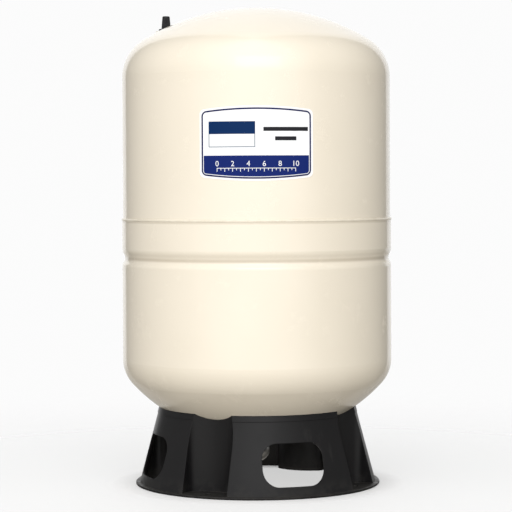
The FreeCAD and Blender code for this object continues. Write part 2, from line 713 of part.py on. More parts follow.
# Valve washer: rubber, between the seat and the valve's hexagon.
valve_washer = at_valve(new_body("valve_washer"))
spin(valve_washer, "ring",
     ("valve_shank_r", SEAT),
     ("valve_washer_r", SEAT),
     ("valve_washer_r", f"{SEAT} + valve_washer_t"),
     ("valve_shank_r", f"{SEAT} + valve_washer_t"))

# Valve stem: brass, with its shank in the socket, a hexagon on the washer and the bored stem above.
valve_stem = at_valve(new_body("valve_stem"))
spin(valve_stem, "barrel",
     ("stem_bore_r", f"{SEAT} - shank_low"),
     ("valve_shank_r", f"{SEAT} - shank_low"),
     ("valve_shank_r", f"{SEAT} + valve_washer_t"),
     ("stem_r", f"{SEAT} + valve_washer_t"),
     ("stem_r", STEM_TOP),
     ("stem_bore_r", STEM_TOP))
hex_section = lift_sketch(new_sketch(valve_stem, "hex_section", "XY_Plane"), f"{SEAT} + valve_washer_t")
hexagon(hex_section, "valve_hex_flats")
circle(hex_section, "0", "0", "stem_bore_r")
pad(valve_stem, "hex", hex_section, "valve_hex_h")

# Valve core: brass insert screwed into the stem, which guides the pin and seats its seal.
CORE_TOP = f"{STEM_TOP} - 1"
valve_core = at_valve(new_body("valve_core"))
spin(valve_core, "sleeve",
     ("pin_r + pin_play", CORE_LOW),
     ("core_barrel_r", CORE_LOW),
     ("core_barrel_r", f"{CORE_TOP} - core_head_h"),
     ("stem_bore_r", f"{CORE_TOP} - core_head_h"),
     ("stem_bore_r", CORE_TOP),
     ("pin_r + pin_play", CORE_TOP),
     ("pin_r + pin_play", f"{CORE_TOP} - core_lip_h"),
     ("core_bore_r", f"{CORE_TOP} - core_lip_h"),
     ("core_bore_r", f"{CORE_LOW} + core_lip_h"),
     ("pin_r + pin_play", f"{CORE_LOW} + core_lip_h"))

# Core seal: ring round the core's barrel, tight against the stem's bore.
core_seal = at_valve(new_body("core_seal"))
spin(core_seal, "ring",
     ("core_barrel_r", f"{CORE_TOP} - core_head_h - 2 * core_lip_h"),
     ("stem_bore_r", f"{CORE_TOP} - core_head_h - 2 * core_lip_h"),
     ("stem_bore_r", f"{CORE_TOP} - core_head_h"),
     ("core_barrel_r", f"{CORE_TOP} - core_head_h"))

# Valve pin: pressed down from the stem's mouth to let air in or out. The collar carries the
# spring, and the foot carries the seal.
SEAL_HIGH = f"{CORE_LOW} - pin_seal_gap"
SEAL_LOW = f"{CORE_LOW} - pin_seal_gap - pin_seal_h"
COLLAR = f"{SEAT} + pin_collar_at"
valve_pin = at_valve(new_body("valve_pin"))
spin(valve_pin, "rod",
     ("0", f"{SEAL_LOW} - pin_foot_h"),
     ("pin_foot_r", f"{SEAL_LOW} - pin_foot_h"),
     ("pin_foot_r", SEAL_LOW),
     ("pin_r", SEAL_LOW),
     ("pin_r", COLLAR),
     ("pin_collar_r", COLLAR),
     ("pin_collar_r", f"{COLLAR} + pin_collar_h"),
     ("pin_r", f"{COLLAR} + pin_collar_h"),
     ("pin_r", STEM_TOP),
     ("0", STEM_TOP))
pin_seal = at_valve(new_body("pin_seal"))
spin(pin_seal, "ring",
     ("pin_r", SEAL_LOW),
     ("pin_foot_r", SEAL_LOW),
     ("pin_foot_r", SEAL_HIGH),
     ("pin_r", SEAL_HIGH))

# Valve spring: steel wire between the core's lower lip and the pin's collar.
valve_spring = at_valve(new_body("valve_spring"))
SPRING_LOW = f"({CORE_LOW} + core_lip_h + spring_wire_r)"
SPRING_HIGH = f"({COLLAR} - spring_wire_r)"
wire_section = new_sketch(valve_spring, "wire_section")
circle(wire_section, "spring_coil_r", SPRING_LOW, "spring_wire_r")
coil = valve_spring.newObject("PartDesign::AdditiveHelix", "coil")
coil.Profile = wire_section
coil.ReferenceAxis = (wire_section, ["V_Axis"])
coil.Mode = "height-turns-growth"
bind(coil, Height=f"{SPRING_HIGH} - {SPRING_LOW}", Turns="spring_turns")

# Valve cap: moulded plastic, screwed onto the stem, with a flange that covers the seat.
CAP_LOW = f"{SEAT} + cap_gap"
CAP_TOP = f"{STEM_TOP} + cap_room + cap_roof"
POCKET_R = "(valve_washer_r + cap_pocket_play)"
POCKET_TOP = f"{SEAT} + valve_washer_t + valve_hex_h + cap_pocket_gap"
CAP_BORE_R = "(stem_r + cap_thread_play)"
RING_Z = f"{SEAT} + cap_ring_gap + cap_ring_wire_r"
valve_cap = at_valve(new_body("valve_cap"))
spin(valve_cap, "shell",
     (POCKET_R, CAP_LOW),
     ("cap_ring_r - cap_ring_wire_r - cap_ring_gap", CAP_LOW),
     ("cap_ring_r - cap_ring_wire_r - cap_ring_gap", f"{RING_Z} + cap_ring_wire_r + cap_ring_gap"),
     ("cap_ring_r + cap_ring_wire_r + cap_ring_gap", f"{RING_Z} + cap_ring_wire_r + cap_ring_gap"),
     ("cap_ring_r + cap_ring_wire_r + cap_ring_gap", CAP_LOW),
     ("cap_flange_r", CAP_LOW),
     ("cap_flange_r", f"{CAP_LOW} + cap_flange_h - cap_round"),
     ("cap_flange_r - cap_round", f"{CAP_LOW} + cap_flange_h", "cap_round", "left"),
     ("cap_low_r", f"{CAP_LOW} + cap_flange_h"),
     ("cap_top_r", f"{CAP_TOP} - cap_round"),
     ("cap_top_r - cap_round", CAP_TOP, "cap_round", "left"),
     ("0", CAP_TOP),
     ("0", f"{CAP_TOP} - cap_roof"),
     (CAP_BORE_R, f"{CAP_TOP} - cap_roof"),
     (CAP_BORE_R, POCKET_TOP),
     (POCKET_R, POCKET_TOP))

# Cap ring: rubber ring in the flange's groove, which seals the cap against the seat.
cap_ring = at_valve(doc.addObject("Part::Torus", "cap_ring"))
cap_ring.Label = "cap_ring"
bind(cap_ring, Radius1="cap_ring_r", Radius2="cap_ring_wire_r", **{".Placement.Base.z": RING_Z})

# Label: printed film on the front of the upper shell, with bowed long edges and round corners.
HALF_W = f"({UPPER_R} * sin(label_w / {UPPER_R} * 90 / {math.pi}))"
BOW_R = f"(({HALF_W} - label_corner)^2 + label_bow^2) / (2 * label_bow)"
LABEL_LOW = "(seam_z + label_up)"
LABEL_HIGH = f"({LABEL_LOW} + label_h)"
EDGE_LOW = f"({LABEL_LOW} + label_bow)"
EDGE_HIGH = f"({LABEL_HIGH} - label_bow)"
label = bind(new_body("label"), **{".Placement.Rotation.Angle": "label_turn"})
label_outline = new_sketch(label, "label_outline")
outline(label_outline,
        (f"label_corner - {HALF_W}", EDGE_LOW, "label_corner", "left"),
        (f"{HALF_W} - label_corner", EDGE_LOW, BOW_R, "left"),
        (HALF_W, f"{EDGE_LOW} + label_corner", "label_corner", "left"),
        (HALF_W, f"{EDGE_HIGH} - label_corner"),
        (f"{HALF_W} - label_corner", EDGE_HIGH, "label_corner", "left"),
        (f"label_corner - {HALF_W}", EDGE_HIGH, BOW_R, "left"),
        (f"-{HALF_W}", f"{EDGE_HIGH} - label_corner", "label_corner", "left"),
        (f"-{HALF_W}", f"{EDGE_LOW} + label_corner"))
pad(label, "blank", label_outline, f"{UPPER_R} + 20")
spin(label, "back", ("0", f"{LABEL_LOW} - 1"), (UPPER_R, f"{LABEL_LOW} - 1"),
     (UPPER_R, f"{LABEL_HIGH} + 1"), ("0", f"{LABEL_HIGH} + 1"), cut=True)
FACE_R = f"({UPPER_R} + label_t)"
spin(label, "face", (FACE_R, f"{LABEL_LOW} - 1"), (f"{FACE_R} + 40", f"{LABEL_LOW} - 1"),
     (f"{FACE_R} + 40", f"{LABEL_HIGH} + 1"), (FACE_R, f"{LABEL_HIGH} + 1"), cut=True)

NODES = [
    upper_shell, lower_shell, girth_weld, liner, diaphragm, clench_ring,
    water_connection, outlet_gasket, inner_gasket, lock_nut,
    stand, weld_studs, stud_washers, stud_nuts,
    valve_socket, valve_washer, valve_stem, valve_core, core_seal, valve_pin, pin_seal, valve_spring,
    valve_cap, cap_ring, label,
]
doc.recompute()
for thing in doc.Objects:
    if "Invalid" in thing.State or "Error" in thing.State:
        raise RuntimeError(f"{thing.Label} failed: {thing.State}")
    if thing.TypeId in ("PartDesign::Pocket", "PartDesign::Groove"):
        if thing.Shape.Volume > thing.BaseFeature.Shape.Volume - 0.001:
            raise RuntimeError(f"{thing.Label} cuts nothing")
for node in NODES:
    if node.Shape.isNull() or not node.Shape.isValid():
        raise RuntimeError(f"{node.Label} has no valid shape")
    node.Shape.exportStep(f"parts/{node.Label}.step")
    print(node.Label, len(node.Shape.Solids), round(node.Shape.Volume), node.Shape.BoundBox)
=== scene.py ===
import math

import bmesh
import bpy
from mathutils import Matrix, Vector


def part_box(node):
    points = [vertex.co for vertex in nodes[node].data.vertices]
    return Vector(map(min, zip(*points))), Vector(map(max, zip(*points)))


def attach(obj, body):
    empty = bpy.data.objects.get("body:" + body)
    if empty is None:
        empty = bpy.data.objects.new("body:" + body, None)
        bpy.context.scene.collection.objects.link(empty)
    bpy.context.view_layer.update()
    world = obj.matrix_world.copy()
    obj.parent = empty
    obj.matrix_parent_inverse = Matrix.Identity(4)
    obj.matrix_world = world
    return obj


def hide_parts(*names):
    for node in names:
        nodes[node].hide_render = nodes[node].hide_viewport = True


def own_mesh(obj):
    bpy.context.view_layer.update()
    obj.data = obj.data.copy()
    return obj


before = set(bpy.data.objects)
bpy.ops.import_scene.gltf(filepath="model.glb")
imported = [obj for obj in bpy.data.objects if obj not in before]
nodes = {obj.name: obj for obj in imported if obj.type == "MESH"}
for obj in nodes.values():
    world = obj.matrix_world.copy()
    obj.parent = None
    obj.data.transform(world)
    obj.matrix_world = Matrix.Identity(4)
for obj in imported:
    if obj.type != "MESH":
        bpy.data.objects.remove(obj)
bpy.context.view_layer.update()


# Camera: a long lens a little above half height, in front of the label. The label and the
# camera stand at the same turn from -Y, so the stand's front window shows to the right.
label_turn = math.radians(-18.7)
camera_reach = 3.225
camera_height = 0.4787
camera_drop = math.radians(2.004)
camera_roll = math.radians(-0.25)
camera_data = bpy.data.cameras.new("studio_camera")
camera_data.lens = 140.6
camera_data.sensor_width = 36
camera_data.shift_x = -0.0015
camera_data.clip_end = 50
camera = bpy.data.objects.new("studio_camera", camera_data)
camera.matrix_world = (
    Matrix.Translation((math.sin(label_turn) * camera_reach,
                        -math.cos(label_turn) * camera_reach, camera_height))
    @ Matrix.Rotation(label_turn, 4, "Z")
    @ Matrix.Rotation(math.pi / 2 - camera_drop, 4, "X")
    @ Matrix.Rotation(camera_roll, 4, "Z"))
bpy.context.collection.objects.link(camera)
bpy.context.scene.camera = camera
bpy.context.scene.view_settings.view_transform = "Standard"


# Studio: a white cove behind the vessel, darker side walls that draw its edges in the gloss, and
# a broad soft front. The cove looks plain white to the camera.
class Tone:
    """A value in a node tree. Arithmetic on it adds Math nodes, and node() adds any other."""

    def __init__(self, tree, socket=None):
        self.tree = tree
        self.socket = socket

    def node(self, kind, settings, inputs, output=0):
        """Add a node, its settings first, then the values or links of its sockets."""
        made = self.tree.nodes.new(kind)
        for name, setting in settings.items():
            if name == "stops":
                while len(made.color_ramp.elements) < len(setting):
                    made.color_ramp.elements.new(0.5)
                for stop, (place, colour) in zip(made.color_ramp.elements, setting):
                    stop.position = place
                    stop.color = (*colour, 1) if isinstance(colour, tuple) else (colour,) * 3 + (1,)
            else:
                setattr(made, name, setting)
        for name, given in inputs.items():
            if isinstance(given, Tone):
                self.tree.links.new(given.socket, made.inputs[name])
            else:
                made.inputs[name].default_value = given
        return Tone(self.tree, made.outputs[output])

    def math(self, operation, *values):
        return self.node("ShaderNodeMath", {"operation": operation}, dict(enumerate(values)))

    def __add__(self, other):
        return self.math("ADD", self, other)

    def __sub__(self, other):
        return self.math("SUBTRACT", self, other)

    def __rsub__(self, other):
        return self.math("SUBTRACT", other, self)

    def __mul__(self, other):
        return self.math("MULTIPLY", self, other)

    def __truediv__(self, other):
        return self.math("DIVIDE", self, other)

    def __rtruediv__(self, other):
        return self.math("DIVIDE", other, self)

    __radd__ = __add__
    __rmul__ = __mul__


world = bpy.data.worlds.new("studio")
world.use_nodes = True
bpy.context.scene.world = world
sky = Tone(world.node_tree)
sky_direction = sky.node("ShaderNodeTexCoord", {}, {}, "Generated")
sky_parts = [sky.node("ShaderNodeSeparateXYZ", {}, {0: sky_direction}, axis) for axis in "XYZ"]
level = sky.math("SQRT", sky_parts[0] * sky_parts[0] + sky_parts[1] * sky_parts[1] + 0.0001)
facing = (sky_parts[0] * math.sin(label_turn) - sky_parts[1] * math.cos(label_turn)) / level
sideways = (sky_parts[0] * math.cos(label_turn) + sky_parts[1] * math.sin(label_turn)) / level
walls = sky.node("ShaderNodeValToRGB", {"stops": [
    (0.0, 1.15), (0.066, 1.1), (0.078, 0.02), (0.12, 0.22), (0.25, 0.40), (0.5, 0.68), (0.76, 1.04),
    (0.92, 1.78), (1.0, 2.0)]}, {0: facing * 0.5 + 0.5 - sideways * 0.007})
overhead = sky.node("ShaderNodeValToRGB", {"stops": [
    (0.0, (0.42, 0.40, 0.37)), (0.40, (0.54, 0.52, 0.48)), (0.47, 1.0), (0.75, 1.0), (1.0, 1.0)]},
    {0: sky_parts[2] * 0.5 + 0.5})
right_wall = sky.node("ShaderNodeValToRGB", {"stops": [
    (0.2, 0.94), (0.45, 1.0), (0.78, 0.86), (0.92, 0.62), (1.0, 0.66)]},
    {0: sideways * 0.5 + 0.5})
soft = walls
for shade in (overhead, right_wall):
    soft = sky.node("ShaderNodeMix", {"data_type": "RGBA", "blend_type": "MULTIPLY"},
                    {0: 1.0, 6: soft, 7: shade}, 2)
seen = sky.node("ShaderNodeLightPath", {}, {}, "Is Camera Ray")
sky_colour = sky.node("ShaderNodeMix", {"data_type": "RGBA"},
                      {0: seen, 6: soft, 7: (0.97, 0.97, 0.97, 1)}, 2)
world.node_tree.links.new(sky_colour.socket, world.node_tree.nodes["Background"].inputs["Color"])

# A plain pale floor that runs out into the cove.
floor_mesh = bpy.data.meshes.new("floor")
floor_form = bmesh.new()
bmesh.ops.create_circle(floor_form, cap_ends=True, cap_tris=False, segments=96, radius=6)
floor_form.to_mesh(floor_mesh)
floor_form.free()
floor = bpy.data.objects.new("floor", floor_mesh)
bpy.context.collection.objects.link(floor)


def new_finish(name, constants=()):
    """A material, with the sockets that are the same all over set on its shader."""
    made = bpy.data.materials.new(name)
    made.use_nodes = True
    for socket, value in dict(constants).items():
        made.node_tree.nodes["Principled BSDF"].inputs[socket].default_value = value
    return made


def feed(tone, socket):
    """Join a value to a socket of its material's shader."""
    tone.tree.links.new(tone.socket, tone.tree.nodes["Principled BSDF"].inputs[socket])


def place_in(tone):
    """The three numbers of a point's object coordinates."""
    place = tone.node("ShaderNodeTexCoord", {}, {}, "Object")
    return [tone.node("ShaderNodeSeparateXYZ", {}, {0: place}, axis) for axis in "XYZ"]


floor_finish = new_finish("pale floor", {"Roughness": 0.6, "Specular IOR Level": 0.2})
floor_mesh.materials.append(floor_finish)
pale = Tone(floor_finish.node_tree)
across, along = place_in(pale)[:2]
reach = pale.math("SQRT", across * across + along * along)
foot_rim = 0.197
seen = pale.node("ShaderNodeLightPath", {}, {}, "Is Camera Ray")
feed(pale.node("ShaderNodeMix", {"data_type": "RGBA"},
               {0: seen, 6: (0.34, 0.322, 0.295, 1), 7: (0.90, 0.90, 0.90, 1)}, 2), "Base Color")
clear = pale.node("ShaderNodeBsdfTransparent", {}, {})
fade = pale.node("ShaderNodeMapRange", {"interpolation_type": "SMOOTHSTEP", "clamp": True},
                 {0: reach, 1: 0.30, 2: 1.5, 3: 0.6, 4: 1.0})
fade = fade + pale.node("ShaderNodeMapRange", {"interpolation_type": "SMOOTHSTEP", "clamp": True},
                        {0: pale.math("ABSOLUTE", reach - foot_rim), 1: 0.0, 2: 0.05, 3: -0.4, 4: 0.0})
shaded = Tone(floor_finish.node_tree, floor_finish.node_tree.nodes["Principled BSDF"].outputs[0])
blend = pale.node("ShaderNodeMixShader", {}, {0: fade, 1: shaded, 2: clear})
floor_finish.node_tree.links.new(
    blend.socket, floor_finish.node_tree.nodes["Material Output"].inputs["Surface"])


def add_panel(name, place, aim, width, height, power):
    """Soft rectangular light aimed at a point."""
    lamp = bpy.data.lights.new(name, "AREA")
    lamp.shape = "RECTANGLE"
    lamp.size = width
    lamp.size_y = height
    lamp.energy = power
    panel = bpy.data.objects.new(name, lamp)
    panel.location = place
    panel.rotation_euler = (Vector(aim) - Vector(place)).to_track_quat("-Z", "Y").to_euler()
    bpy.context.collection.objects.link(panel)


add_panel("front_light", (-1.0, -3.4, 2.3), (0, 0, 0.42), 2.4, 1.8, 22)


# Lower shell and upper shell: deep-drawn steel, degreased and sprayed with a glossy cream enamel
# after welding. The spray is a little uneven, and dark lines at the groove and at the weld are painted
# shade.
enamel = new_finish("cream enamel", {
    "IOR": 1.5, "Coat Roughness": 0.05, "Coat IOR": 1.5, "Coat Weight": 0.6})
cream = Tone(enamel.node_tree)
up = place_in(cream)[2]


def noise(tone, scale, detail=2.0, roughness=0.5, stretch=None):
    """Smooth noise of one feature about 1 / scale metres wide."""
    spot = tone.node("ShaderNodeTexCoord", {}, {}, "Object")
    if stretch:
        spot = tone.node("ShaderNodeMapping", {}, {0: spot, "Scale": stretch})
    return tone.node("ShaderNodeTexNoise", {}, {
        "Vector": spot, "Scale": scale, "Detail": detail, "Roughness": roughness}, "Fac")


def between(tone, low, high):
    """0 below low, 1 above high, and smooth between them."""
    return tone.node("ShaderNodeMapRange", {"interpolation_type": "SMOOTHSTEP", "clamp": True},
                     {0: tone, 1: low, 2: high, 3: 0.0, 4: 1.0})


def tint(mask, below, above):
    """One colour where the mask is 0 and the other where it is 1."""
    return mask.node("ShaderNodeMix", {"data_type": "RGBA", "clamp_factor": True}, {
        0: mask,
        6: below if isinstance(below, Tone) else (*below, 1),
        7: above if isinstance(above, Tone) else (*above, 1)}, 2)


def bump(height, distance, strength=1.0):
    """Raise the surface by a height map, in metres."""
    feed(height.node("ShaderNodeBump", {}, {
        "Strength": strength, "Distance": distance, "Height": height}, "Normal"), "Normal")


cream_colour = tint(between(noise(cream, 9, 3), 0.35, 0.65),
                    (0.800, 0.728, 0.602), (0.812, 0.740, 0.615))
specks = between(noise(cream, 420, 3, 0.6), 0.70, 0.76) * between(noise(cream, 14, 2), 0.45, 0.62)
cream_colour = tint(specks * 0.12, cream_colour, (0.60, 0.53, 0.42))
seam_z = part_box("lower_shell")[1][2]
groove_z = 0.3635
# Thin dark lines at the weld's lap and in the groove are painted shade, not a colour of the paint.
painted_seam_shade = between(cream.math("ABSOLUTE", up - seam_z + 0.001), 0.0032, 0.0006)
painted_groove_shade = between(cream.math("ABSOLUTE", up - groove_z - 0.0012), 0.0045, 0.0004)
cream_colour = tint(painted_seam_shade * 0.35 + painted_groove_shade * 0.45, cream_colour, (0.42, 0.35, 0.25))
feed(cream_colour, "Base Color")
feed(noise(cream, 26, 4) * 0.08 + noise(cream, 700, 2) * 0.04 + 0.20, "Roughness")
bump(noise(cream, 330, 1) * 0.75 + noise(cream, 1200, 2) * 0.25, 0.00003, 0.35)
for name in ("upper_shell", "lower_shell"):
    nodes[name].material_slots[0].material = enamel


# Girth weld: one bead of filler laid round the lower shell's edge in overlapping ripples, and
# painted with the shells.
weld = new_finish("painted weld bead", {
    "IOR": 1.5, "Coat Roughness": 0.08, "Coat IOR": 1.5, "Coat Weight": 0.35})
bead = Tone(weld.node_tree)
across, along, up = place_in(bead)
turn = bead.math("ARCTAN2", along, across)
ripple = bead.math("SINE", turn * 610 + noise(bead, 60, 2) * 5 + (up - seam_z) * 900) * 0.5 + 0.5
feed(tint(ripple * between(noise(bead, 70, 2), 0.3, 0.7), (0.80, 0.735, 0.61), (0.70, 0.63, 0.50)),
     "Base Color")
feed(noise(bead, 90, 3) * 0.2 + 0.22, "Roughness")
bump(ripple * 0.6 + noise(bead, 240, 3) * 0.4, 0.0004, 0.8)
nodes["girth_weld"].material_slots[0].material = weld


# Stand: one moulding of black polypropylene with a satin, faintly grained face. Its edges catch
# the light, a little dust lies on the lip and the low parts, and a pale band along the top of the lip
# is a painted highlight.
moulded = new_finish("black moulded plastic", {"IOR": 1.49, "Specular IOR Level": 0.19})
black = Tone(moulded.node_tree)
across, along, up = place_in(black)
scuffs = (between(noise(black, 34, 5, 0.65, (1, 1, 0.25)), 0.62, 0.72)
          * between(noise(black, 5, 2), 0.45, 0.6))
dust = between(up, 0.030, 0.002) * between(noise(black, 55, 4, 0.6), 0.38, 0.62)
# A pale band about 3 to 5 mm up, along the top of the lip, is a painted highlight.
painted_lip_highlight = between(up, 0.0052, 0.0038) * between(up, 0.0030, 0.0038)
face = tint(noise(black, 7, 3), (0.0068, 0.0065, 0.0069), (0.0100, 0.0096, 0.0101))
face = tint(scuffs * 0.3, face, (0.030, 0.029, 0.028))
# Dust and the painted lip highlight share one pale colour.
face = tint(dust * 0.18 + painted_lip_highlight * 0.22, face, (0.065, 0.061, 0.055))
feed(face, "Base Color")
feed(noise(black, 18, 4) * 0.14 + scuffs * 0.08 + dust * 0.15 + 0.30, "Roughness")
rounded = black.node("ShaderNodeBevel", {"samples": 6}, {"Radius": 0.0012})
grain = noise(black, 1500, 2, 0.6) * 0.6 + noise(black, 240, 2) * 0.4
feed(black.node("ShaderNodeBump", {}, {
    "Strength": 0.35, "Distance": 0.00012, "Height": grain, "Normal": rounded}, "Normal"), "Normal")
nodes["stand"].material_slots[0].material = moulded


# Label: printed white film with a navy outline that follows its bowed edges, a bare block and box,
# two rules, and a navy band below.
film = new_finish("printed film", {"IOR": 1.46, "Specular IOR Level": 0.08})
print_tone = Tone(film.node_tree)
across, along, up = place_in(print_tone)
label_low, label_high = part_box("label")
label_half_w = 0.088
label_half_h = (label_high[2] - label_low[2]) / 2
label_mid = (label_high[2] + label_low[2]) / 2
corner_r = 0.0105
print_edge = 0.00008
film_r = 0.2153
round_film = (print_tone.math("ARCTAN2", across, 0 - along) - label_turn) * film_r
height_film = up - label_mid
wide = print_tone.math("ABSOLUTE", round_film)
bowed = label_half_h - wide * wide * (0.005 / (label_half_w - 0.008) ** 2)
past_w = wide - (label_half_w - corner_r)
past_h = print_tone.math("ABSOLUTE", height_film) - bowed + corner_r
over_w = print_tone.math("MAXIMUM", past_w, 0)
over_h = print_tone.math("MAXIMUM", past_h, 0)
inside = (print_tone.math("SQRT", over_w * over_w + over_h * over_h)
          + print_tone.math("MINIMUM", print_tone.math("MAXIMUM", past_w, past_h), 0))
depth = corner_r - inside


def block(left, right, bottom, top):
    """1 inside a rectangle of the film, and 0 outside."""
    return (between(round_film, left - print_edge, left + print_edge)
            * between(round_film, right + print_edge, right - print_edge)
            * between(height_film, bottom - print_edge, bottom + print_edge)
            * between(height_film, top + print_edge, top - print_edge))


white = tint(noise(print_tone, 30, 3), (0.86, 0.87, 0.89), (0.90, 0.905, 0.92))
ink = between(depth, 0.0030, 0.0032) * between(depth, 0.0057, 0.0055)
navy = (0.010, 0.012, 0.075)
band = block(-0.1, 0.1, -0.1, -0.0184) * between(depth, 0.0064, 0.0066)
plate = block(-0.0733, -0.0016, 0.0139, 0.0330)
box_line = (block(-0.0733, -0.0016, -0.0060, 0.0139)
            - block(-0.0721, -0.0028, -0.0048, 0.0139))
rules = block(0.0108, 0.0799, 0.0182, 0.0243) + block(0.0284, 0.0613, 0.0040, 0.0101)
printed = tint(ink, white, navy)
printed = tint(band, printed, (0.006, 0.018, 0.135))
printed = tint(plate, printed, (0.001, 0.022, 0.095))
printed = tint(box_line, printed, (0.11, 0.15, 0.20))
printed = tint(rules, printed, (0.018, 0.018, 0.022))
feed(printed, "Base Color")
feed(noise(print_tone, 45, 3) * 0.14 + 0.24, "Roughness")
bump(noise(print_tone, 160, 2), 0.00003, 0.4)
nodes["label"].material_slots[0].material = film

# Scale: plain numerals over one rule, with ticks below it, printed in white ink on the label's
# navy band. It is one flat piece laid just over the film, as the ink lies on it.
film_form = bmesh.new()
scale_start = -0.060
tick_gap = 0.006
ink_lift = 0.00012
for number in range(0, 11, 2):
    glyph = bpy.data.curves.new("numeral", "FONT")
    glyph.body = str(number)
    glyph.size = 0.0115
    glyph.align_x = "CENTER"
    shown = bpy.data.objects.new("numeral", glyph)
    bpy.context.collection.objects.link(shown)
    flat = bpy.data.meshes.new_from_object(
        shown.evaluated_get(bpy.context.evaluated_depsgraph_get()))
    bpy.data.objects.remove(shown)
    start = len(film_form.verts)
    film_form.from_mesh(flat)
    film_form.verts.ensure_lookup_table()
    bmesh.ops.translate(film_form, verts=film_form.verts[start:],
                        vec=(scale_start + 2 * tick_gap * number, -0.0345, 0))
for step in range(21):
    tall = 0.0052 if step % 2 == 0 else 0.0032
    tick = bmesh.ops.create_grid(film_form, x_segments=1, y_segments=1, size=0.5)["verts"]
    bmesh.ops.scale(film_form, verts=tick, vec=(0.0009, tall, 1))
    bmesh.ops.translate(film_form, verts=tick,
                        vec=(scale_start + tick_gap * step, -0.0375 - tall / 2, 0))
rule = bmesh.ops.create_grid(film_form, x_segments=40, y_segments=1, size=0.5)["verts"]
bmesh.ops.scale(film_form, verts=rule, vec=(0.1209, 0.0009, 1))
bmesh.ops.translate(film_form, verts=rule, vec=(0, -0.03755, 0))
bmesh.ops.triangulate(film_form, faces=film_form.faces)
for point in film_form.verts:
    turn = point.co.x / film_r + label_turn
    point.co = (math.sin(turn) * (film_r + ink_lift), -math.cos(turn) * (film_r + ink_lift),
                label_mid + point.co.y)
bmesh.ops.recalc_face_normals(film_form, faces=film_form.faces)
scale_mesh = bpy.data.meshes.new("label_scale")
film_form.to_mesh(scale_mesh)
film_form.free()
scale_print = bpy.data.objects.new("label_scale", scale_mesh)
bpy.context.collection.objects.link(scale_print)
white_ink = new_finish("white ink", {"IOR": 1.46})
ink_tone = Tone(white_ink.node_tree)
feed(tint(noise(ink_tone, 900, 3), (0.78, 0.79, 0.82), (0.88, 0.89, 0.91)), "Base Color")
feed(noise(ink_tone, 300, 2) * 0.2 + 0.3, "Roughness")
scale_mesh.materials.append(white_ink)
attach(scale_print, "root")


# Water connection: one cast stainless elbow, its face brushed, with a 1 inch thread cut in the
# outlet and on the spigot that the lock nut draws up.
stainless = new_finish("brushed stainless", {"Metallic": 1.0, "Anisotropic": 0.3})
steel = Tone(stainless.node_tree)
across, along, up = place_in(steel)
brushed = noise(steel, 90, 3, 0.6, (1, 12, 1))
outlet_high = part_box("water_connection")[1]
outlet_z = 0.054
pipe_pitch = 0.00231
mouth_r = steel.math("SQRT", across * across + (up - outlet_z) * (up - outlet_z))
mouth_turn = steel.math("ARCTAN2", up - outlet_z, across)
in_mouth = (between(along, outlet_high[1] - 0.0200, outlet_high[1] - 0.0185)
            * between(mouth_r, 0.0170, 0.0160))
spigot_turn = steel.math("ARCTAN2", along, across)
on_spigot = between(up, outlet_high[2] - 0.020, outlet_high[2] - 0.018)
thread = (in_mouth * steel.math("SINE", along * (math.tau / pipe_pitch) + mouth_turn)
          + on_spigot * steel.math("SINE", up * (math.tau / pipe_pitch) + spigot_turn))
feed(tint(brushed, (0.47, 0.465, 0.455), (0.66, 0.655, 0.64)), "Base Color")
feed(brushed * 0.16 + noise(steel, 35, 3) * 0.08 + 0.18, "Roughness")
bump(thread * 0.85 + brushed * 0.08, 0.0007, 0.9)
nodes["water_connection"].material_slots[0].material = stainless


# Outlet gasket, inner gasket, valve washer, seals and cap ring: moulded black rubber, matt with a
# pale bloom.
rubber = new_finish("black moulded rubber", {"IOR": 1.5, "Specular IOR Level": 0.3})
soft_black = Tone(rubber.node_tree)
bloom = between(noise(soft_black, 120, 4, 0.65), 0.42, 0.72)
feed(tint(bloom, (0.017, 0.017, 0.018), (0.044, 0.043, 0.042)), "Base Color")
feed(bloom * 0.15 + 0.62, "Roughness")
bump(noise(soft_black, 1800, 2), 0.00006, 0.5)
for name in ("outlet_gasket", "inner_gasket", "valve_washer", "core_seal", "pin_seal", "cap_ring"):
    nodes[name].material_slots[0].material = rubber


# Lock nut: machined brass, turned on its faces and a little tarnished. It stands inside the tank
# and draws the elbow up against the bottom head.
brass = new_finish("turned brass", {"Metallic": 1.0})
yellow = Tone(brass.node_tree)
across, along = place_in(yellow)[:2]
tarnish = between(noise(yellow, 60, 4, 0.6), 0.45, 0.75)
turned = yellow.math("SINE", yellow.math("SQRT", across * across + along * along) * 9000)
feed(tint(tarnish, (0.82, 0.60, 0.27), (0.52, 0.36, 0.16)), "Base Color")
feed(tarnish * 0.2 + noise(yellow, 400, 2) * 0.1 + 0.16, "Roughness")
bump(turned * 0.3 + noise(yellow, 900, 2) * 0.7, 0.00003, 0.6)
nodes["lock_nut"].material_slots[0].material = brass


# Liner: a tub thermoformed from natural polypropylene, milky, with faint flow marks.
milky = new_finish("natural polypropylene", {"IOR": 1.49, "Subsurface Weight": 0.1})
tub = Tone(milky.node_tree)
feed(tint(between(noise(tub, 22, 4, 0.55, (1, 1, 0.3)), 0.35, 0.7),
          (0.70, 0.72, 0.73), (0.80, 0.82, 0.82)), "Base Color")
feed(noise(tub, 40, 3) * 0.15 + 0.36, "Roughness")
bump(noise(tub, 500, 2), 0.00005, 0.4)
nodes["liner"].material_slots[0].material = milky


